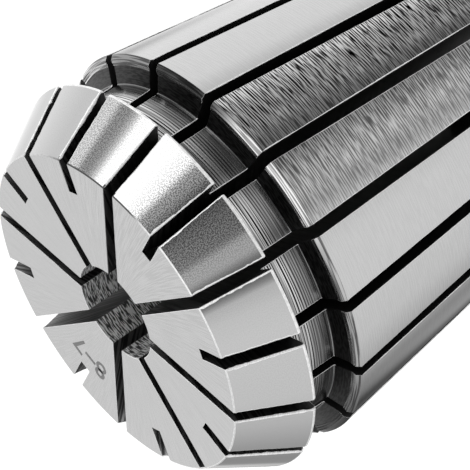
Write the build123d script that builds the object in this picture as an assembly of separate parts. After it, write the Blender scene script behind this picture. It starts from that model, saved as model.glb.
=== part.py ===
from build123d import *
import os
from math import radians, sqrt, tan

# Spring collet for tool shanks, turned and ground from one piece of spring steel.
# It stands on its rear face, with its axis on Z and its nose up.
# Places along the axis are given as distances behind the front face.

# Overall
length = 40.0
body_diameter = 33.0
body_half_angle = 8.0

# Nose, which the clamping nut pushes on
face_diameter = 27.2
nose_half_angle = 30.0
nose_length = 5.4
nose_land = 0.38
face_edge = 0.23

# Groove behind the nose, which the nut's ring pulls on
neck_diameter = 28.7
neck_end = 9.05
shoulder_diameter = 31.4
shoulder_depth = 0.49
body_edge = 0.35

# Bore for the shank, with a wider relief behind it
bore_diameter = 8.0
bore_edge = 0.1
relief_diameter = 13.0
relief_depth = 17.0
relief_half_angle = 45.0
relief_edge = 0.4
rear_edge = 0.8

# Saw slots: long ones from the front, short ones from the rear, by turns
slot_pairs = 8
slot_width = 1.0
saw_diameter = 63.0
saw_floor_radius = 2.0
long_slot_web = 4.0
short_slot_face_radius = 10.8

# Room that the cutters reach past the part
clearance = 5.0


def height(depth):
    """Z of a place that lies a depth behind the front face."""
    return length - depth


def body_radius(depth):
    """Radius of the clamping taper at a depth behind the front face."""
    taper_start = neck_end + shoulder_depth + body_edge
    return body_diameter / 2 - (depth - taper_start) * tan(radians(body_half_angle))


def outer_profile():
    """Half section of the outside, filled to the axis and drawn with Z as its Y."""
    face_radius = face_diameter / 2
    nose_radius = face_radius + (nose_length - nose_land) * tan(radians(nose_half_angle))
    ledge_depth = neck_end + shoulder_depth
    outline = Polyline(
        (0, 0),
        (body_radius(length) - rear_edge, 0),
        (body_radius(length - rear_edge), rear_edge),
        (body_diameter / 2, height(ledge_depth + body_edge)),
        (body_diameter / 2 - body_edge, height(ledge_depth)),
        (shoulder_diameter / 2, height(ledge_depth)),
        (neck_diameter / 2, height(neck_end)),
        (neck_diameter / 2, height(nose_length)),
        (nose_radius, height(nose_length)),
        (nose_radius, height(nose_length - nose_land)),
        (face_radius, length),
        (0, length),
        close=True,
    )
    profile = make_face(outline)
    face_corner = profile.vertices().sort_by_distance(Vector(face_radius, length, 0))[0]
    return chamfer(face_corner, face_edge)


def bore_profile():
    """Half section of the bore, its front edge break and the relief that opens at the rear."""
    bore_radius = bore_diameter / 2
    relief_radius = relief_diameter / 2
    relief_cone = (relief_radius - bore_radius) / tan(radians(relief_half_angle))
    return make_face(
        Polyline(
            (0, -clearance),
            (relief_radius + relief_edge + clearance, -clearance),
            (relief_radius, relief_edge),
            (relief_radius, relief_depth),
            (bore_radius, relief_depth + relief_cone),
            (bore_radius, height(bore_edge)),
            (bore_radius + bore_edge + clearance, height(-clearance)),
            (0, height(-clearance)),
            close=True,
        )
    )


def saw_path(run_out_depth, run_out_radius, from_front):
    """What the saw sweeps, from the side: its disc where it stops, and the feed in from the open end."""
    saw_radius = saw_diameter / 2
    saw_axis = saw_floor_radius + saw_radius
    reach = sqrt(saw_radius**2 - (saw_axis - run_out_radius) ** 2)
    sign = 1 if from_front else -1
    saw_height = height(run_out_depth) + sign * reach
    open_end = height(-clearance) if from_front else -clearance
    feed = Pos(saw_axis, (saw_height + open_end) / 2) * Rectangle(
        2 * saw_radius, abs(open_end - saw_height)
    )
    return Pos(saw_axis, saw_height) * Circle(saw_radius) + feed


def saw_cuts(path, first_angle):
    """Kerfs along one path of the saw, evenly spaced round the axis."""
    kerf = extrude(Plane.XZ * path, slot_width / 2, both=True)
    pitch = 360 / slot_pairs
    return [Rot(0, 0, first_angle + number * pitch) * kerf for number in range(slot_pairs)]


def collet():
    """The turned blank, bored through and then sawn from both ends."""
    turned = revolve(Plane.XZ * outer_profile(), Axis.Z)
    bore = revolve(Plane.XZ * bore_profile(), Axis.Z)
    web_start = length - long_slot_web
    long_path = saw_path(web_start, body_radius(web_start), from_front=True)
    short_path = saw_path(0, short_slot_face_radius, from_front=False)
    half_pitch = 180 / slot_pairs
    return turned - [bore, *saw_cuts(long_path, 0), *saw_cuts(short_path, half_pitch)]


os.makedirs("parts", exist_ok=True)
body = collet()
print("collet volume", round(body.volume), "mm3, solids", len(body.solids()))
export_step(body, "parts/er_collet.step")
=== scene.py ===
# %% [markdown]
# # A slotted spring collet in ground steel
#
# This scene gives the collet its look. The CAD model is loaded first and stays as it is.
# Its one solid is then shown by a finer mesh of the same form, which adds what only the eye needs:
# rounded edges with a painted highlight, fine ridges on the ledge, the numbers and true surface normals.
# The rest is steel, light and a camera.
#
# Sizes come from the part. Greys, the light and shade painted into the steel's colour and the brightness of
# the surroundings don't: they were fitted to bring the render's brightness near the photo's in the same
# places.
# Some places still differ clearly, such as the groove beside the nose. The text above each group of tables
# says more.

import bpy
import numpy as np
from mathutils import Euler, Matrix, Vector


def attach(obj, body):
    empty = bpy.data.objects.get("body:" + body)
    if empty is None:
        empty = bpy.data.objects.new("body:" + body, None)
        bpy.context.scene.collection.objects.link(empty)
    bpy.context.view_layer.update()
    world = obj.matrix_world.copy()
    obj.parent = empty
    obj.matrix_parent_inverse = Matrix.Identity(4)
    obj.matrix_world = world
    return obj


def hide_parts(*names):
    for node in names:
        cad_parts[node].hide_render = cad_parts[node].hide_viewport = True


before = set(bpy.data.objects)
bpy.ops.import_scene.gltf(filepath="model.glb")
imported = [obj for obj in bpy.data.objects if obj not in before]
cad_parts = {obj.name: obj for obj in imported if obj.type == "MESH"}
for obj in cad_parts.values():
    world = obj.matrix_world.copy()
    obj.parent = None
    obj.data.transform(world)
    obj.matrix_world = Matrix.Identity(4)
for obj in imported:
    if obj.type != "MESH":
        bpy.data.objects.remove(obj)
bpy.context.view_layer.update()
MM = 0.001

# %% [markdown]
# ## Sizes
#
# All sizes are in millimetres. The part stands on its rear face at height 0, with its axis on Z.
# Radius and height give a place on its section. The saw's disc leaves an arc at the end of each slot.

# %% Name the sizes
LENGTH = 40.0
FACE_RADIUS = 13.6
NOSE_RADIUS = 16.718  # where the cone would meet the nose's rear face, before its corner is rounded
NOSE_REAR = 34.6
NECK_RADIUS = 14.35
NECK_REAR = 30.95
SHOULDER = (15.7, 30.44)
TAPER_TOP = (16.5, 30.11)
TAPER_SLOPE = np.tan(np.radians(8.0))
BORE_RADIUS = 4.0
RELIEF_RADIUS = 6.5
RELIEF_TOP = 17.0
RELIEF_EDGE = 0.4
REAR_EDGE = 0.8
SLOTS = 16
SLOT_HALF = 0.5
SAW_RADIUS = 31.5
SAW_AXIS = 33.5
SHORT_SLOT_FACE_RADIUS = 10.8
LONG_SLOT_END = 4.0


def taper_radius(height):
    """Radius of the clamping taper: r = top - (top height - z) tan 8 degrees."""
    return TAPER_TOP[0] - (TAPER_TOP[1] - height) * TAPER_SLOPE


def saw_reach(radius):
    """How far along the axis from the saw's centre its rim crosses a radius: sqrt(R^2 - (a - r)^2)."""
    return np.sqrt(SAW_RADIUS**2 - (SAW_AXIS - radius) ** 2)


long_saw_height = LONG_SLOT_END + saw_reach(taper_radius(LONG_SLOT_END))
long_slot_inner_end = long_saw_height - saw_reach(RELIEF_RADIUS)
short_saw_height = LENGTH - saw_reach(SHORT_SLOT_FACE_RADIUS)
short_slot_inner_end = short_saw_height + saw_reach(BORE_RADIUS)
print("slots end inside at", round(long_slot_inner_end, 2), "and", round(short_slot_inner_end, 2))

# %% [markdown]
# ## The section
#
# The section is a closed loop of corners. It runs out along the rear face, up the outside, in across the
# front face and back down the bore. Each corner has a rounding radius, and each run has a row spacing and
# a finish. The loop is turned into rows with exact normals, so that long cones shade without a ripple.

# %% Round the corners of the section
# EDGE is the finish of every rounded edge, and its pale colour is a painted highlight
TAPER, NOSE, FACE, GROOVE, SHOULDER_WALL, LEAD_IN, INSIDE, SAWN, EDGE = range(9)
FINE_ROWS_FROM = 14.0
RIDGE_RADII = (16.12, 15.93, 15.74)
RIDGE_TOP, RIDGE_FOOT = 30.49, 30.42
RIDGE_FALL = 0.03


def ledge_ridges():
    """Corners of the fine turned ridges on the ledge: a crest, then a foot a little nearer the axis.

    The last crest falls to the shoulder's own corner, so it has no foot.
    """
    corners = []
    for crest in RIDGE_RADII:
        corners.append((crest, RIDGE_TOP, 0.02, LEAD_IN, 0.08, LEAD_IN))
        corners.append((crest - RIDGE_FALL, RIDGE_FOOT, 0.01, LEAD_IN, 0.08, LEAD_IN))
    return corners[:-1]


CORNERS = [
    # radius, height, rounding and finish of the corner, then row spacing and finish of the run that follows
    (RELIEF_RADIUS + RELIEF_EDGE, 0.0, 0.1, INSIDE, 1.0, INSIDE),
    (taper_radius(0.0) - REAR_EDGE, 0.0, 0.2, EDGE, 0.4, TAPER),
    (taper_radius(REAR_EDGE), REAR_EDGE, 0.2, EDGE, 0.8, TAPER),
    (taper_radius(LONG_SLOT_END), LONG_SLOT_END, 0.0, TAPER, 1.0, TAPER),
    (taper_radius(FINE_ROWS_FROM), FINE_ROWS_FROM, 0.0, TAPER, 0.3, TAPER),
    (*TAPER_TOP, 0.04, LEAD_IN, 0.12, LEAD_IN),
    *ledge_ridges(),
    (*SHOULDER, 0.01, LEAD_IN, 0.12, SHOULDER_WALL),
    (NECK_RADIUS, NECK_REAR, 0.12, GROOVE, 0.25, GROOVE),
    (NECK_RADIUS, NOSE_REAR, 0.25, GROOVE, 0.25, GROOVE),
    (NOSE_RADIUS, NOSE_REAR, 0.22, EDGE, 0.25, NOSE),
    (FACE_RADIUS, LENGTH, 0.15, EDGE, 0.3, FACE),
    (SHORT_SLOT_FACE_RADIUS, LENGTH, 0.0, FACE, 0.4, FACE),
    (BORE_RADIUS, LENGTH, 0.06, EDGE, 0.8, INSIDE),
    (BORE_RADIUS, short_slot_inner_end, 0.0, INSIDE, 1.0, INSIDE),
    (BORE_RADIUS, RELIEF_TOP + RELIEF_RADIUS - BORE_RADIUS, 0.1, INSIDE, 1.0, INSIDE),
    (RELIEF_RADIUS, RELIEF_TOP, 0.1, INSIDE, 1.0, INSIDE),
    (RELIEF_RADIUS, long_slot_inner_end, 0.0, INSIDE, 1.0, INSIDE),
    (RELIEF_RADIUS, RELIEF_EDGE, 0.1, INSIDE, 0.3, INSIDE),
]
ARC_STEPS = 5
ARC_DEPTH = 0.8
DEPTH_RISE = 0.7
LEDGE_DEPTH = 0.008


def section_rows(corners):
    """Rows along the closed section: radius, height, normal and finish, and the depth each can be cut to.

    A corner with rounding R turns by t and touches its runs R tan(t/2) from the corner. Its arc goes from one
    run's normal to the other's. A slot's broken edge must stay within an outward corner's rounding, or the
    wall's outline would cross itself: ARC_DEPTH R on the arc, and DEPTH_RISE mm more for each mm away.
    On the ledge with its fine ridges it stays next to nothing.
    """
    points = np.array([c[:2] for c in corners])
    runs = np.roll(points, -1, axis=0) - points
    runs /= np.linalg.norm(runs, axis=1)[:, None]
    normals = np.column_stack([runs[:, 1], -runs[:, 0]])
    before = np.roll(normals, 1, axis=0)
    cross = before[:, 0] * normals[:, 1] - before[:, 1] * normals[:, 0]
    turn = np.arctan2(cross, (before * normals).sum(1))
    rounding = np.array([c[2] for c in corners])
    setback = rounding * np.tan(np.abs(turn) / 2)
    rows = []
    for i, corner in enumerate(corners):
        ahead = (i + 1) % len(corners)
        if rounding[i]:
            side = np.sign(turn[i])
            centre = points[i] - np.roll(runs, 1, axis=0)[i] * setback[i] - side * before[i] * rounding[i]
            for part in np.linspace(0, turn[i], ARC_STEPS):
                c, s = np.cos(part), np.sin(part)
                n = np.array([c * before[i][0] - s * before[i][1], s * before[i][0] + c * before[i][1]])
                last = part == turn[i]
                rows.append((*(centre + side * n * rounding[i]), *n, corner[5] if last else corner[3]))
        else:
            rows.append((*points[i], *normals[i], corner[5]))
        start = points[i] + runs[i] * setback[i]
        end = points[ahead] - runs[i] * setback[ahead]
        count = max(int(np.ceil(np.linalg.norm(end - start) / corner[4])), 1)
        for part in np.arange(1, count) / count:
            rows.append((*(start + (end - start) * part), *normals[i], corner[5]))
    rows = np.array(rows)
    outward = turn > 0.01
    away = np.linalg.norm(rows[:, None, :2] - points[None, outward], axis=2) - setback[outward]
    depth = (ARC_DEPTH * rounding[outward] + DEPTH_RISE * away.clip(0)).min(axis=1)
    return rows, np.where(rows[:, 4] == LEAD_IN, LEDGE_DEPTH, depth)


rows, depth_limit = section_rows(CORNERS)
radius, height = rows[:, 0], rows[:, 1]
ROWS = len(rows)
print("section rows", ROWS, "largest radius", round(radius.max(), 3))


def row_at(r, z):
    """The row nearest to a place on the section."""
    return int(np.argmin(np.hypot(radius - r, height - z)))


# %% [markdown]
# ## Turned skin with slots
#
# The rows are carried round the axis to make one grid. At each slot the grid has narrow columns of its own:
# the edge of the skin, the round of the broken edge, and the slot's wall. A row lies either in an open slot,
# where the faces across the slot are left out, or past its end, where the skin runs on.
# The broken edge wanders a little in width, as an edge broken by hand does.

# %% Make the grid
LAND_STEPS = 12
ACROSS_STEPS = 4
BREAK_WIDTH = 0.11
ROUND_STEPS = (0.0, 0.3, 0.65, 1.0)
RISE_ROWS = 3
# How wide the break is, as shares of BREAK_WIDTH: on the face, on the nose, and on the body, where a slot's
# two sides differ
FACE_BREAK, NOSE_BREAK = 0.33, 1.3
BODY_BREAK = {-1: 0.3, 1: 0.5}
INSIDE_BREAK = 0.5
WANDER_SHARE = 0.45
rng = np.random.default_rng(7)


def open_range(kind):
    """Rows of the section where a slot is open, in order, from its end on one side to the other."""
    if kind == "long":
        first = row_at(taper_radius(LONG_SLOT_END), LONG_SLOT_END)
        last = row_at(RELIEF_RADIUS, long_slot_inner_end)
    else:
        first = row_at(BORE_RADIUS, short_slot_inner_end)
        last = row_at(SHORT_SLOT_FACE_RADIUS, LENGTH)
    return np.arange(first, last + 1 + (ROWS if last < first else 0)) % ROWS


def openness(kind):
    """1 in an open slot and 0 past its ends, rising over the first rows."""
    order = open_range(kind)
    inside = np.arange(len(order))
    value = np.zeros(ROWS)
    value[order] = np.clip(np.minimum(inside, inside[::-1]) / RISE_ROWS, 0, 1)
    return value


def wander(count):
    """Smooth random values along the rows, about -1 to 1."""
    coarse = np.convolve(rng.normal(size=count + 8), np.ones(9) / 3, "valid")
    fine = rng.normal(size=count)
    return 0.5 * coarse + 0.35 * fine


def edge_column(h, depth, angle):
    """Points beside a slot: h across it and a depth below the skin, turned to the slot's angle."""
    r = radius - depth * rows[:, 2]
    z = height - depth * rows[:, 3]
    x = np.sqrt(np.maximum(r**2 - h**2, 0.0))
    c, s = np.cos(angle), np.sin(angle)
    return np.column_stack([x * c - h * s, x * s + h * c, z])


def skin_normal(angle):
    """Outward normal of the turned skin at each row, at an angle given for each row."""
    return np.column_stack([rows[:, 2] * np.cos(angle), rows[:, 2] * np.sin(angle), rows[:, 3]])


columns, column_normals, column_kind, column_open = [], [], [], []
slot_edges = []
for slot in range(SLOTS):
    kind = "long" if slot % 2 == 0 else "short"
    is_open = openness(kind)
    angle = slot * 2 * np.pi / SLOTS
    inner = rows[:, 4] == INSIDE
    slot_edges.append({})
    for side in (-1, 1):
        width = BREAK_WIDTH * (1 + WANDER_SHARE * wander(ROWS)).clip(0.4, 1.9)
        width *= np.where(inner, INSIDE_BREAK, 1.0)
        outside = np.where(height > NOSE_REAR, NOSE_BREAK, BODY_BREAK[side])
        width *= np.where(rows[:, 4] == FACE, FACE_BREAK, outside)
        width = np.minimum(width, depth_limit)
        steps = ROUND_STEPS if side < 0 else ROUND_STEPS[::-1]
        wall_normal = np.array([np.sin(angle), -np.cos(angle), 0.0]) * side
        for step in steps:
            swing = np.pi / 2 * step
            h = side * (SLOT_HALF + width * (1 - np.sin(swing)))
            depth = width * (1 - np.cos(swing)) * is_open
            columns.append(edge_column(h, depth, angle))
            around = angle + np.arctan2(h, np.sqrt(radius**2 - h**2))
            lean = (swing * is_open)[:, None]
            column_normals.append(skin_normal(around) * np.cos(lean) + wall_normal * np.sin(lean))
            column_kind.append("edge")
            column_open.append(is_open)
        wall = len(columns) - (1 if side < 0 else len(steps))
        slot_edges[-1]["left" if side < 0 else "right"] = wall
        if side < 0:
            for h in np.linspace(-SLOT_HALF, SLOT_HALF, ACROSS_STEPS + 1)[1:-1]:
                columns.append(edge_column(np.full(ROWS, h), 0.0, angle))
                column_normals.append(skin_normal(angle + np.arcsin(h / radius)))
                column_kind.append("across")
                column_open.append(is_open)
    skin_edge = columns[-1]
    last_angle = np.unwrap(np.arctan2(skin_edge[:, 1], skin_edge[:, 0]))
    next_angle = (slot + 1) * 2 * np.pi / SLOTS
    half = np.arcsin(np.minimum((SLOT_HALF + BREAK_WIDTH) / radius, 1.0))
    start = angle + (last_angle - angle + np.pi) % (2 * np.pi) - np.pi
    for part in np.arange(1, LAND_STEPS) / LAND_STEPS:
        around = start + (next_angle - half - start) * part
        columns.append(np.column_stack([radius * np.cos(around), radius * np.sin(around), height]))
        column_normals.append(skin_normal(around))
        column_kind.append("land")
        column_open.append(is_open)

grid = np.stack(columns, axis=1)
grid_normals = np.stack(column_normals, axis=1)
COLUMNS = grid.shape[1]
print("grid", ROWS, "rows by", COLUMNS, "columns")

# %% [markdown]
# ## Slot walls and floors
#
# A slot's wall is flat: its outline is the column of wall points in the open rows, closed by the saw's arc.
# The floor is that arc carried across the slot. Together with the skin they close the solid.
#
# The mesh also holds two values at each face corner: how clear the tool marks are there, and a share of
# painted light and shade that the steel's colour is multiplied by. The marks are the steel's own, but round
# the taper, nose and face their strength is painted to follow the reflections. The second share is painted
# reflection and shade, and above 1 a painted highlight. In the photo both vary from land to land. The tables
# below give them as shares at stops, with straight lines between. Their values were fitted: the brightness of
# the render was compared with that of the photo in the same places, and the shares were changed to bring the
# two nearer. So they hold for the side that the photo shows. They don't say why a place is bright or dark,
# and the hidden side is a guess.

# %% Join skin, walls and floors
FLOOR_STEPS = 24
FACE_CORNER_BAND = 0.2
# How clear the marks of each finish are round the axis, as (degrees from +X, share). The marks are real;
# their strength round the axis is painted to follow the reflections
TOOL_MARKS_AND_PAINTED_SHEEN = {
    TAPER: [
        (0, 0.03), (25, 0.1), (45, 0.35), (180, 0.35), (198, 0.1), (205, 0.03), (268, 0.03), (271, 0.2),
        (281, 0.55), (292, 0.8), (294, 0.6), (304, 1.1), (315, 1.5), (315.5, 0.03),
    ],
    NOSE: [
        (0, 0.05), (273, 0.05), (279, 0.5), (283, 1.2), (292, 1.3), (301, 1.1), (306, 0.3), (314, 0.1),
        (317, 0.3), (324, 0.5), (328, 1.0), (337, 0.5), (338, 0.05),
    ],
    FACE: [(0, 0.5), (225, 0.6), (250, 1.0), (270, 1.2), (315, 1.2), (340, 0.9), (360, 0.5)],
}
# Painted reflection and shade on the ledge behind the groove, round the axis; above 1 a painted highlight
LEDGE_PAINTED_LIGHT_AND_SHADE = [
    (0, 0.5), (6, 0.6), (17, 0.9), (22, 0.9), (23, 0.4), (90, 0.3), (157, 0.2), (179, 0.2), (181, 0.08),
    (201, 0.1), (203, 0.2), (225, 0.5), (226, 0.6), (248, 0.7), (250, 0.9), (257, 0.8), (264, 0.6),
    (270, 0.9), (286, 1.5), (292, 1.4), (298, 1.8), (304, 0.9), (309, 0.4), (315, 0.4), (316, 0.3),
    (321, 0.25), (332, 0.08), (337, 0.1), (338, 0.4), (354, 0.3), (359, 0.45),
]
# How clear the turned rings in the groove are along its floor, and its painted shade, darker towards both
# corners of the groove, as (height, share)
GROOVE_RINGS = [(31.0, 0.4), (32.2, 0.5), (32.9, 1.0), (34.6, 1.1)]
GROOVE_PAINTED_SHADE = [(31.0, 0.6), (32.2, 0.7), (32.9, 1.05), (33.6, 1.0), (34.6, 0.75)]
# Painted shade on the taper: darker on one side round the axis
TAPER_PAINTED_SHADE = [(0, 1.0), (270, 1.0), (272, 0.9), (293, 0.85), (314, 0.8), (316, 1.0)]
# Painted shade on the nose, one darker strip beside a slot, and on the rounded corner between nose and face,
# dark on one side round the axis
NOSE_PAINTED_SHADE = [(0, 1.0), (265, 1.0), (267, 0.45), (269, 0.45), (270, 1.0)]
FACE_CORNER_PAINTED_SHADE = [
    (0, 0.7), (200, 0.85), (292, 1.0), (300, 0.8), (304, 0.1), (337, 0.1), (345, 0.5), (360, 0.7),
]
# How clear the saw's marks are, as (height, share); they are kept to the slots' mouths
SAW_MARKS = [(36.5, 0.05), (39.0, 1.0)]
# Painted light and shade on the slots' walls round the axis
SLOT_PAINTED_SHADE = [(0, 0.4), (100, 0.5), (108, 1.0), (165, 1.0), (175, 0.4)]


def spread(stops, place):
    """Values between stops of (place, value)."""
    return np.interp(place, *np.transpose(stops))


vertices = [grid.reshape(-1, 3)]
faces, loop_normals, face_finish = [], [], []
vertex_count = ROWS * COLUMNS


def index(row, column):
    """Number of the grid vertex at a row and column, both wrapping round."""
    return (row % ROWS) * COLUMNS + column % COLUMNS


def unit(v):
    """The vectors scaled to length 1."""
    return v / np.linalg.norm(v, axis=-1, keepdims=True)


hidden = np.zeros((ROWS, COLUMNS), bool)
for slot, edges in enumerate(slot_edges):
    order = open_range("long" if slot % 2 == 0 else "short")
    hidden[np.ix_(order[:-1], np.arange(edges["left"], edges["right"]))] = True
row, column = np.nonzero(~hidden)
quads = np.column_stack(
    [index(row, column), index(row, column + 1), index(row + 1, column + 1), index(row + 1, column)]
)
flat_normals = unit(grid_normals.reshape(-1, 3))
faces += quads.tolist()
loop_normals.append(flat_normals[quads.ravel()])
kinds = np.array(column_kind)
broken = (kinds == "edge") & (np.roll(kinds, -1) == "edge")
in_open_slot = np.stack(column_open, axis=1)[row, column] > 0
# The broken edges of open slots get the edge finish, whose pale grey is a painted highlight
highlighted_break = broken[column] & in_open_slot & ~np.isin(rows[row, 4], (INSIDE, SHOULDER_WALL))
finish = np.where(highlighted_break, EDGE, rows[row, 4]).astype(int)
face_finish.append(finish)
corner = grid.reshape(-1, 3)[quads]
degrees = np.degrees(np.arctan2(corner[..., 1], corner[..., 0])) % 360
# The second share is painted reflection and shade, multiplied into the colour; the first is how clear the
# tool marks are
marks, painted_light_and_shade = np.ones(degrees.shape), np.ones(degrees.shape)
for kind, stops in TOOL_MARKS_AND_PAINTED_SHEEN.items():
    marks[finish == kind] = spread(stops, degrees[finish == kind])
# The rounded corner next to the face gets painted shade, dark on one side round the axis
face_corner = (finish == EDGE) & (corner[..., 2].mean(axis=1) > LENGTH - FACE_CORNER_BAND)
for kind, stops in ((LEAD_IN, LEDGE_PAINTED_LIGHT_AND_SHADE), (TAPER, TAPER_PAINTED_SHADE), (NOSE, NOSE_PAINTED_SHADE)):
    painted_light_and_shade[finish == kind] = spread(stops, degrees[finish == kind])
painted_light_and_shade[face_corner] = spread(FACE_CORNER_PAINTED_SHADE, degrees[face_corner])
marks[finish == GROOVE] = spread(GROOVE_RINGS, corner[finish == GROOVE][..., 2])
painted_light_and_shade[finish == GROOVE] = spread(GROOVE_PAINTED_SHADE, corner[finish == GROOVE][..., 2])
corner_marks, corner_painted_light_and_shade = [marks.ravel()], [painted_light_and_shade.ravel()]

for slot, edges in enumerate(slot_edges):
    kind = "long" if slot % 2 == 0 else "short"
    order = open_range(kind)
    angle = slot * 2 * np.pi / SLOTS
    turn = np.array([[np.cos(angle), -np.sin(angle), 0], [np.sin(angle), np.cos(angle), 0], [0, 0, 1]])
    saw_height = long_saw_height if kind == "long" else short_saw_height
    ends = np.array([[radius[order[k]], height[order[k]]] for k in (0, -1)])
    swing = np.arctan2(ends[:, 1] - saw_height, ends[:, 0] - SAW_AXIS) % (2 * np.pi)
    arc = np.linspace(*swing, FLOOR_STEPS + 1)[1:-1]
    h = np.linspace(-SLOT_HALF, SLOT_HALF, ACROSS_STEPS + 1)
    x = SAW_AXIS + SAW_RADIUS * np.cos(arc)
    z = saw_height + SAW_RADIUS * np.sin(arc)
    floor = np.stack(np.broadcast_arrays(x[:, None], h[None, :], z[:, None]), axis=-1) @ turn.T
    vertices.append(floor.reshape(-1, 3))
    across = np.arange(edges["left"], edges["right"] + 1)
    middle = vertex_count + np.arange(len(arc) * len(h)).reshape(len(arc), len(h))
    vertex_count += middle.size
    sheet = np.vstack([index(order[0], across), middle, index(order[-1], across)])
    arc_all = np.concatenate([swing[:1], arc, swing[1:]])
    floor_normal = -np.column_stack([np.cos(arc_all), np.zeros(len(arc_all)), np.sin(arc_all)]) @ turn.T
    for i in range(len(sheet) - 1):
        for j in range(len(h) - 1):
            square = (sheet[i, j], sheet[i, j + 1], sheet[i + 1, j + 1], sheet[i + 1, j])
            faces.append([int(v) for v in square])
            loop_normals.append(floor_normal[[i, i, i + 1, i + 1]])
            face_finish.append([SAWN])
            corner_marks.append(np.full(4, SAW_MARKS[0][1]))
            # Painted shade on the slot's floor: the walls' darkest share
            corner_painted_light_and_shade.append(np.full(4, SLOT_PAINTED_SHADE[0][1]))
    for name, side, edge in (("left", -1, 0), ("right", 1, -1)):
        outline = [int(index(k, edges[name])) for k in order] + [int(v) for v in middle[::-1, edge]]
        faces.append(outline if side > 0 else outline[::-1])
        wall_normal = np.array([np.sin(angle), -np.cos(angle), 0.0]) * side
        loop_normals.append(np.tile(wall_normal, (len(outline), 1)))
        face_finish.append([SAWN])
        outline_height = np.concatenate([height[order], z[::-1]])
        corner_marks.append(spread(SAW_MARKS, outline_height if side > 0 else outline_height[::-1]))
        # Painted light and shade on the slot's wall, by its place round the axis
        corner_painted_light_and_shade.append(np.full(len(outline), spread(SLOT_PAINTED_SHADE, np.degrees(angle))))

# %% [markdown]
# The arrays become one Blender mesh. Vertices inside the open slots belong to no face and are dropped.
# Each slot wall is one flat face with many corners. If its outline crossed itself, its triangles would cover
# more than its area, so the two areas are printed side by side and should agree.

# %% Build the mesh
points = np.vstack(vertices) * MM
used, renumbered = np.unique(np.concatenate(faces), return_inverse=True)
splits = np.cumsum([len(f) for f in faces])[:-1]
collet_mesh = bpy.data.meshes.new("collet")
collet_mesh.from_pydata(points[used].tolist(), [], [part.tolist() for part in np.split(renumbered, splits)])
collet = bpy.data.objects.new("collet", collet_mesh)
bpy.context.collection.objects.link(collet)
collet_mesh.polygons.foreach_set("material_index", np.concatenate(face_finish).astype(np.int32))
collet_mesh.shade_smooth()
for name, values in (("marks", corner_marks), ("painted_light_and_shade", corner_painted_light_and_shade)):
    layer = collet_mesh.attributes.new(name, "FLOAT", "CORNER")
    layer.data.foreach_set("value", np.concatenate(values).astype(np.float32))
collet_mesh.normals_split_custom_set(np.vstack(loop_normals).tolist())
collet_mesh.update()
collet_mesh.calc_loop_triangles()
print("collet mesh:", len(collet_mesh.vertices), "vertices,", len(collet_mesh.loop_triangles), "triangles")
walls = {part.index: part.area for part in collet_mesh.polygons if part.loop_total > 4}
filled = sum(triangle.area for triangle in collet_mesh.loop_triangles if triangle.polygon_index in walls)
wall_area = sum(walls.values())
print(len(walls), "slot walls, mm2:", round(wall_area / MM**2, 2), "triangles:", round(filled / MM**2, 2))
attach(collet, "root")
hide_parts("er_collet")

# %% [markdown]
# ## Size range on the face
#
# The front face says which shanks the collet takes, from its free bore down to the smallest: 8 to 7 mm.
# The marks stand between two slots, with their tops outward. Each is a pen path: a row of points in mm,
# across and up from the middle of the mark. The path is given the pen's width and laid on the face.
# Each mark is a closed, very flat block that straddles the face, so it never flickers against it.

# %% Lay the numbers on the face
PEN = 0.15
MARK_DEPTH = 0.01
MARK_RADIUS = 9.08


def ring_path(centre, half_width, half_height, points=16):
    """A closed oval path: centre + (a cos t, b sin t)."""
    t = np.arange(points) / points * 2 * np.pi
    return np.column_stack([centre[0] + half_width * np.cos(t), centre[1] + half_height * np.sin(t)])


MARKS = [
    # the mark's place round the face in degrees, its path, and whether the path is closed
    (120.6, ring_path((0, -0.44), 0.46, 0.43), True),
    (120.6, ring_path((0, 0.42), 0.38, 0.4), True),
    (112.8, np.array([(-0.6, 0.0), (0.6, 0.0)]), False),
    (105.6, np.array([(-0.46, 0.88), (0.43, 0.88), (0.09, -0.95)]), False),
]


def normals_of(steps):
    """The unit normals of steps along a path."""
    return unit(np.column_stack([-steps[:, 1], steps[:, 0]]))


def stroke(path, closed):
    """Both sides of a pen path. At a bend the half width is measured square to the steps that meet."""
    steps = np.diff(np.vstack([path, path[:1]]) if closed else path, axis=0)
    ahead = normals_of(steps if closed else np.vstack([steps, steps[-1:]]))
    behind = np.roll(ahead, 1, axis=0) if closed else normals_of(np.vstack([steps[:1], steps]))
    across = unit(ahead + behind)
    offset = across * PEN / (across * ahead).sum(axis=1, keepdims=True)
    return path + offset, path - offset


mark_points, mark_faces = [], []
for degrees, path, closed in MARKS:
    left, right = stroke(path, closed)
    start = sum(len(part) for part in mark_points)
    count = len(path)
    for side, level in ((left, MARK_DEPTH), (right, MARK_DEPTH), (left, -MARK_DEPTH), (right, -MARK_DEPTH)):
        out_r = MARK_RADIUS + side[:, 1]
        angle = np.radians(degrees) - side[:, 0] / MARK_RADIUS
        level_z = np.full(count, LENGTH + level)
        mark_points.append(np.column_stack([out_r * np.cos(angle), out_r * np.sin(angle), level_z]))
    top_left, top_right, low_left, low_right = (start + count * i for i in range(4))
    for i in range(count if closed else count - 1):
        j = (i + 1) % count
        mark_faces.append([top_left + i, top_right + i, top_right + j, top_left + j])
        mark_faces.append([low_left + i, low_left + j, low_right + j, low_right + i])
        mark_faces.append([top_left + i, top_left + j, low_left + j, low_left + i])
        mark_faces.append([top_right + i, low_right + i, low_right + j, top_right + j])
    if not closed:
        end = count - 1
        mark_faces.append([top_left, low_left, low_right, top_right])
        mark_faces.append([top_left + end, top_right + end, low_right + end, low_left + end])
numbers_mesh = bpy.data.meshes.new("size_numbers")
numbers_mesh.from_pydata((np.vstack(mark_points) * MM).tolist(), [], mark_faces)
numbers = bpy.data.objects.new("size_numbers", numbers_mesh)
bpy.context.collection.objects.link(numbers)
print("numbers:", len(mark_faces), "faces, pen", 2 * PEN, "mm")
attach(numbers, "root")
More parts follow.
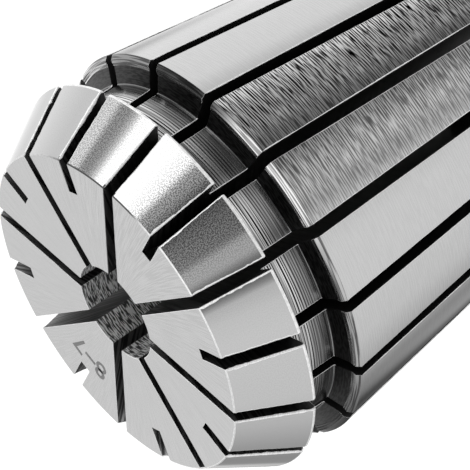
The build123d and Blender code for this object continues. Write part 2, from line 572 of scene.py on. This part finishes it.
ink = bpy.data.materials.new("dark_marks")
ink.use_nodes = True
ink_shader = ink.node_tree.nodes["Principled BSDF"]
ink_shader.inputs["Base Color"].default_value = (0.3, 0.3, 0.3, 1)
ink_shader.inputs["Metallic"].default_value = 1.0
ink_shader.inputs["Roughness"].default_value = 0.5
numbers_mesh.materials.append(ink)

# %% [markdown]
# ## Steel
#
# The real collet is one steel, worked in different ways. Grinding and turning leave rings round the axis, so
# the marks are noise or lines over radius and height that change little round the axis. They are mostly
# colour, with a very slight bump.
#
# The greys aren't one steel's. Each finish has a grey, a roughness and a metal share that were chosen to
# bring its surface near the photo's brightness. So the low greys of the groove and the slot walls are painted
# shade in these recesses. The shoulder is nearly black because it looks so there: painted shade and
# reflection of the dark groove. What darkens it on the real collet isn't known. The pale, partly diffuse grey
# of the edges is a painted highlight.

# %% Make the steel finishes
COARSER = 2.5
LINES_FROM, LINES_TO = 0.38, 0.55
LINE_DRIFT = 1.5
LINE_HEIGHT = 0.15
MARKS_FROM, MARKS_TO = 0.44, 0.56


def add(tree, kind, **settings):
    """A new node in a tree, with its settings."""
    node = tree.nodes.new(kind)
    for name, value in settings.items():
        setattr(node, name, value)
    return node


def math(tree, operation, a, b=None):
    """A math node's output, for sockets or plain numbers."""
    node = add(tree, "ShaderNodeMath", operation=operation)
    for socket, value in zip(node.inputs, (a, b)):
        if value is None:
            continue
        if isinstance(value, (int, float)):
            socket.default_value = value
        else:
            tree.links.new(value, socket)
    return node.outputs[0]


def noise(tree, scale_x, scale_y, u, v, detail):
    """Noise over two coordinates that are scaled one by one."""
    join = add(tree, "ShaderNodeCombineXYZ")
    tree.links.new(math(tree, "MULTIPLY", u, scale_x), join.inputs[0])
    tree.links.new(math(tree, "MULTIPLY", v, scale_y), join.inputs[1])
    texture = add(tree, "ShaderNodeTexNoise", noise_dimensions="2D")
    tree.links.new(join.outputs[0], texture.inputs["Vector"])
    texture.inputs["Scale"].default_value = 1.0
    if isinstance(detail, (int, float)):
        texture.inputs["Detail"].default_value = detail
    else:
        tree.links.new(detail, texture.inputs["Detail"])
    return texture.outputs[0]


def worked_marks_group():
    """Node group: marks drawn out round the axis, about 0.5, from Object coordinates.

    They are noise, or lines of one spacing that come and go, or a mixture. The lines are
    0.5 + LINE_HEIGHT sin(pi (s Across + drift)) share.
    Here s = z - Slope r, and a slope of 1.4 makes it change evenly along every turned run of the section.
    """
    group = bpy.data.node_groups.new("worked_marks", "ShaderNodeTree")
    for name in ("Across", "Around", "Swirl", "Detail", "Lines", "Slope"):
        group.interface.new_socket(name, in_out="INPUT", socket_type="NodeSocketFloat")
    group.interface.new_socket("Value", in_out="OUTPUT", socket_type="NodeSocketFloat")
    sizes = add(group, "NodeGroupInput").outputs
    out = add(group, "NodeGroupOutput").inputs
    place = add(group, "ShaderNodeTexCoord").outputs["Object"]
    split = add(group, "ShaderNodeSeparateXYZ")
    group.links.new(place, split.inputs[0])
    x, y, z = split.outputs
    r = math(group, "SQRT", math(group, "ADD", math(group, "MULTIPLY", x, x), math(group, "MULTIPLY", y, y)))
    along = math(group, "SUBTRACT", z, math(group, "MULTIPLY", r, sizes["Slope"]))
    turned = math(group, "ADD", math(group, "ARCTAN2", y, x), math(group, "MULTIPLY", r, sizes["Swirl"]))
    grain = noise(group, sizes["Across"], sizes["Around"], along, turned, sizes["Detail"])
    coarse = math(group, "DIVIDE", sizes["Across"], COARSER)
    share = add(group, "ShaderNodeMapRange")
    group.links.new(noise(group, coarse, sizes["Around"], along, turned, 0.0), share.inputs["Value"])
    share.inputs["From Min"].default_value = LINES_FROM
    share.inputs["From Max"].default_value = LINES_TO
    drift = math(group, "MULTIPLY", noise(group, coarse, 2.0, along, turned, 0.0), LINE_DRIFT)
    phase = math(group, "ADD", math(group, "MULTIPLY", along, sizes["Across"]), drift)
    wave = math(group, "SINE", math(group, "MULTIPLY", phase, float(np.pi)))
    wave = math(group, "MULTIPLY", math(group, "MULTIPLY", wave, share.outputs[0]), LINE_HEIGHT)
    lines = math(group, "MULTIPLY", math(group, "ADD", wave, 0.5), sizes["Lines"])
    rest = math(group, "MULTIPLY", grain, math(group, "SUBTRACT", 1.0, sizes["Lines"]))
    group.links.new(math(group, "ADD", lines, rest), out["Value"])
    return group


worked_marks = worked_marks_group()


def steel(
    name, grey, roughness, size, around, darker, lighter,
    lines=0.0, detail=0.0, swirl=0.0, slope=1.4, bump=0.002, metal=1.0,
):
    """Worked steel: a grey metal with marks that are size mm wide, drawn out round the axis.

    Around is the number of marks in a radian, and swirl how many radians they turn in a metre of radius.
    Darker and lighter tell how far the marks go. The mesh holds each land's share of them, and the share of
    painted light and shade that its colour is multiplied by.
    """
    material = bpy.data.materials.new(name)
    material.use_nodes = True
    tree = material.node_tree
    shader = tree.nodes["Principled BSDF"]
    shader.inputs["Metallic"].default_value = metal
    shader.inputs["Roughness"].default_value = roughness
    marks = add(tree, "ShaderNodeGroup", node_tree=worked_marks)
    for socket, value in zip(marks.inputs, (1 / (size * MM), around, swirl, detail, lines, slope)):
        socket.default_value = value
    height = add(tree, "ShaderNodeBump")
    height.inputs["Distance"].default_value = bump * MM
    tree.links.new(marks.outputs["Value"], height.inputs["Height"])
    tree.links.new(height.outputs["Normal"], shader.inputs["Normal"])
    shade = add(tree, "ShaderNodeMapRange")
    tree.links.new(marks.outputs["Value"], shade.inputs["Value"])
    shade.inputs["From Min"].default_value = MARKS_FROM
    shade.inputs["From Max"].default_value = MARKS_TO
    shade.inputs["To Min"].default_value = -grey * darker
    shade.inputs["To Max"].default_value = grey * lighter
    # How clear the marks are on each land; round the taper, nose and face this share is painted to follow the
    # reflections
    share = add(tree, "ShaderNodeAttribute", attribute_name="marks").outputs["Fac"]
    strength = math(tree, "MULTIPLY", shade.outputs[0], share)
    # Painted light and shade: the colour is multiplied by the mesh's share of painted reflection, shade and
    # highlight
    painted_light_and_shade = add(tree, "ShaderNodeAttribute", attribute_name="painted_light_and_shade").outputs["Fac"]
    colour = math(tree, "MAXIMUM", math(tree, "ADD", strength, grey), 0.0)
    tree.links.new(math(tree, "MULTIPLY", colour, painted_light_and_shade), shader.inputs["Base Color"])
    return material


FINISHES = {
    TAPER: steel("ground_taper", 0.6, 0.14, 0.09, 12.0, 0.97, 1.1, lines=0.75),
    NOSE: steel("ground_nose", 0.6, 0.07, 0.15, 150.0, 0.4, 0.55, detail=1.0, bump=0.001),
    FACE: steel("ground_face", 0.61, 0.18, 3.5, 110.0, 0.05, 0.05, detail=0.5, swirl=12.0, bump=0.001),
    # The turned rings are the groove's own; its low grey is painted shade
    GROOVE: steel("turned_groove", 0.26, 0.2, 0.115, 1.5, 0.98, 2.6, lines=0.8, detail=1.0, bump=0.006),
    # Nearly black: painted shade and reflection on the shoulder
    SHOULDER_WALL: steel("shoulder_painted_shade", 0.03, 0.35, 0.2, 20.0, 0.5, 0.5, detail=1.0),
    LEAD_IN: steel("turned_lead_in", 0.62, 0.2, 0.24, 4.0, 0.6, 0.45, detail=1.0),
    INSIDE: steel("bored_inside", 0.36, 0.3, 0.11, 5.0, 0.8, 1.7, detail=1.0, bump=0.004, metal=0.6),
    # The saw marks are the slot's own; its low grey is painted shade
    SAWN: steel("sawn_slot", 0.24, 0.45, 0.3, 10.0, 0.6, 1.0, detail=2.0, slope=0.25, bump=0.01),
    # Pale and partly diffuse: a painted highlight along every rounded edge
    EDGE: steel("edge_painted_highlight", 0.95, 0.3, 0.2, 40.0, 0.1, 0.05, detail=1.0, metal=0.3),
}
for finish in sorted(FINISHES):
    collet_mesh.materials.append(FINISHES[finish])

# %% [markdown]
# ## Floor, light and reflections
#
# Steel shows what stands round it, and the photo doesn't show that. So a dome that only reflections see
# stands in for it, as bands of light and dark one above the other. Each band is a ring of cards, given as
# stops of (degrees from the camera's side, brightness).
#
# The cards aren't a real studio's. They were fitted like the shares on the mesh: where the render was too
# dark or too bright beside the photo, the card that shows there was changed. For the three main bands a
# helper script printed a suggested value for each card, and that guided the values typed in. Each band
# serves one turned surface, which is why the bands differ. Another photo would need other values.
# The floor is white and keeps the part's shadow.

# %% Set the stage
CAMERA_AZIMUTH = -78.86


def emission_material(name):
    """A material with an emission shader only, and its tree."""
    material = bpy.data.materials.new(name)
    material.use_nodes = True
    tree = material.node_tree
    tree.nodes.clear()
    out = add(tree, "ShaderNodeOutputMaterial")
    glow = add(tree, "ShaderNodeEmission")
    tree.links.new(glow.outputs[0], out.inputs["Surface"])
    return material, tree, glow


def light_ramp(tree, position, stops):
    """A colour ramp over azimuth from the camera's side, with stops of (degrees, brightness)."""
    ramp = add(tree, "ShaderNodeValToRGB")
    tree.links.new(position, ramp.inputs[0])
    elements = ramp.color_ramp.elements
    while len(elements) < len(stops):
        elements.new(0.5)
    for element, (degrees, brightness) in zip(elements, stops):
        element.position = (degrees + 180) / 360
        element.color = (brightness, brightness, brightness, 1)
    return ramp.outputs[0]


def blend_down(tree, height, above, below, top, bottom):
    """A colour that turns from above to below as the height sinks from top to bottom."""
    share = add(tree, "ShaderNodeMapRange", interpolation_type="SMOOTHSTEP")
    tree.links.new(height, share.inputs["Value"])
    share.inputs["From Min"].default_value = top
    share.inputs["From Max"].default_value = bottom
    mix = add(tree, "ShaderNodeMix", data_type="RGBA")
    tree.links.new(share.outputs[0], mix.inputs[0])
    tree.links.new(above, mix.inputs[6])
    tree.links.new(below, mix.inputs[7])
    return mix.outputs[2]


BANDS = [
    # from and to which height a band takes over from the one above it, and its cards
    (None, [(-180, 1.0), (180, 1.0)]),
    ((0.93, 0.85), [
        (-180, 0.5), (-150, 0.35), (-120, 0.4), (-95, 0.5), (-70, 0.66), (-30, 0.75), (0, 0.8), (50, 0.9),
        (72, 0.8), (80, 0.3), (90, 0.1), (130, 0.05), (155, 0.1), (180, 0.5),
    ]),
    ((0.66, 0.6), [
        (-180, 0.85), (-168, 1.05), (-160, 0.35), (-152, 0.35), (-135, 0.5), (-118, 0.7), (-99, 0.85),
        (-58, 0.9), (-44, 0.85), (-34, 0.7), (-24, 0.3), (-18, 0.2), (-13, 0.55), (-5, 0.5), (-1, 0.2),
        (14, 0.15), (27, 0.05), (35, 0.35), (41, 0.45), (45, 1.4), (55, 1.75), (80, 1.75), (84, 0.75),
        (88, 0.4), (94, 0.35), (98, 0.95), (118, 0.9), (140, 1.1), (152, 0.95), (168, 1.05), (180, 0.85),
    ]),
    ((-0.2, -0.34), [
        (-180, 0.5), (-160, 0.1), (-148, 0.03), (-137, 0.1), (-125, 0.15), (-103, 0.4), (-80, 0.5),
        (-50, 0.65), (-34, 0.8), (-14, 0.2), (-6, 0.7), (8, 0.95), (20, 0.5), (32, 0.08), (50, 0.08),
        (66, 0.35), (80, 0.4), (103, 0.9), (126, 1.5), (148, 0.5), (168, 1.2), (180, 0.9),
    ]),
    ((-0.44, -0.49), [
        (-180, 0.5), (-162, 0.25), (-150, 0.45), (-133, 0.35), (-118, 0.6), (-110, 0.7), (-98, 0.85),
        (-62, 0.95), (-38, 0.95), (-20, 0.8), (-12, 0.5), (0, 0.65), (13, 0.45), (24, 0.2), (34, 0.15),
        (44, 0.35), (51, 0.3), (60, 0.45), (68, 0.75), (80, 0.8), (90, 1.05), (145, 1.1), (180, 1.3),
    ]),
    ((-0.76, -0.84), [
        (-180, 0.5), (-150, 0.4), (-100, 0.8), (-50, 0.95), (-25, 0.6), (-10, 0.2), (15, 0.2), (30, 0.6),
        (50, 1.1), (80, 1.1), (150, 1.1), (180, 0.8),
    ]),
]

bpy.ops.mesh.primitive_uv_sphere_add(segments=64, ring_count=32, radius=1.0)
dome = bpy.context.object
dome.name = "reflection_dome"
dome_material, tree, glow = emission_material("reflection_dome")
place = add(tree, "ShaderNodeTexCoord").outputs["Object"]
split = add(tree, "ShaderNodeSeparateXYZ")
tree.links.new(place, split.inputs[0])
x, y, z = split.outputs
cosine, sine = (float(f(np.radians(CAMERA_AZIMUTH))) for f in (np.cos, np.sin))
ahead = math(tree, "ADD", math(tree, "MULTIPLY", x, cosine), math(tree, "MULTIPLY", y, sine))
aside = math(tree, "SUBTRACT", math(tree, "MULTIPLY", y, cosine), math(tree, "MULTIPLY", x, sine))
turned = math(tree, "ADD", math(tree, "DIVIDE", math(tree, "ARCTAN2", aside, ahead), float(2 * np.pi)), 0.5)
shown = None
for takeover, cards in BANDS:
    band = light_ramp(tree, turned, cards)
    shown = blend_down(tree, z, shown, band, *takeover) if takeover else band
tree.links.new(shown, glow.inputs["Color"])
dome.data.materials.append(dome_material)
dome.visible_camera = False
dome.visible_diffuse = False
dome.visible_shadow = False
dome.visible_transmission = False

bpy.ops.mesh.primitive_plane_add(size=12)
floor_plane = bpy.context.object
floor_plane.name = "floor"
floor_material = bpy.data.materials.new("white_floor")
floor_material.use_nodes = True
floor_shader = floor_material.node_tree.nodes["Principled BSDF"]
floor_shader.inputs["Base Color"].default_value = (0.9, 0.9, 0.9, 1)
floor_shader.inputs["Roughness"].default_value = 0.9
floor_shader.inputs["Specular IOR Level"].default_value = 0.0
seen = add(floor_material.node_tree, "ShaderNodeLightPath").outputs["Is Camera Ray"]
floor_shader.inputs["Emission Color"].default_value = (1, 1, 1, 1)
floor_material.node_tree.links.new(
    math(floor_material.node_tree, "MULTIPLY", seen, 0.2), floor_shader.inputs["Emission Strength"]
)
floor_plane.data.materials.append(floor_material)
floor_plane.visible_glossy = False

world = bpy.data.worlds.new("tent")
bpy.context.scene.world = world
world.use_nodes = True
sky = world.node_tree.nodes["Background"]
sky.inputs["Color"].default_value = (1, 1, 1, 1)
sky.inputs["Strength"].default_value = 0.85

lamp_data = bpy.data.lights.new("key", "AREA")
lamp_data.energy = 4.0
lamp_data.size = 0.6
lamp = bpy.data.objects.new("key", lamp_data)
bpy.context.collection.objects.link(lamp)
lamp.location = (0.5, 0.3, 1.0)
lamp.rotation_euler = (Vector((0, 0, 0)) - lamp.location).to_track_quat("-Z", "Y").to_euler()
lamp.visible_glossy = False

# %% [markdown]
# ## Camera
#
# The camera's place, turn and lens come from a separate fit of the collet's edges to about 230 points picked
# on the photo's edges. The largest diameter was held at 33 mm in it.

# %% Place the camera
CAMERA_PLACE = Vector((77.176, -392.770, 210.168)) * MM
CAMERA_TARGET = Vector((-0.167, -0.033, 28.335)) * MM
CAMERA_ROLL = -123.846
FOCAL_PIXELS = 5852.05
IMAGE_PIXELS = 470

camera_data = bpy.data.cameras.new("camera")
camera_data.sensor_width = 36.0
camera_data.lens = FOCAL_PIXELS / IMAGE_PIXELS * camera_data.sensor_width
camera_data.clip_start = 0.01
camera = bpy.data.objects.new("camera", camera_data)
bpy.context.collection.objects.link(camera)
camera.location = CAMERA_PLACE
aim = (CAMERA_TARGET - CAMERA_PLACE).to_track_quat("-Z", "Y")
camera.rotation_euler = (aim.to_matrix() @ Euler((0, 0, np.radians(CAMERA_ROLL))).to_matrix()).to_euler()
bpy.context.scene.camera = camera
bpy.context.scene.view_settings.view_transform = "Standard"
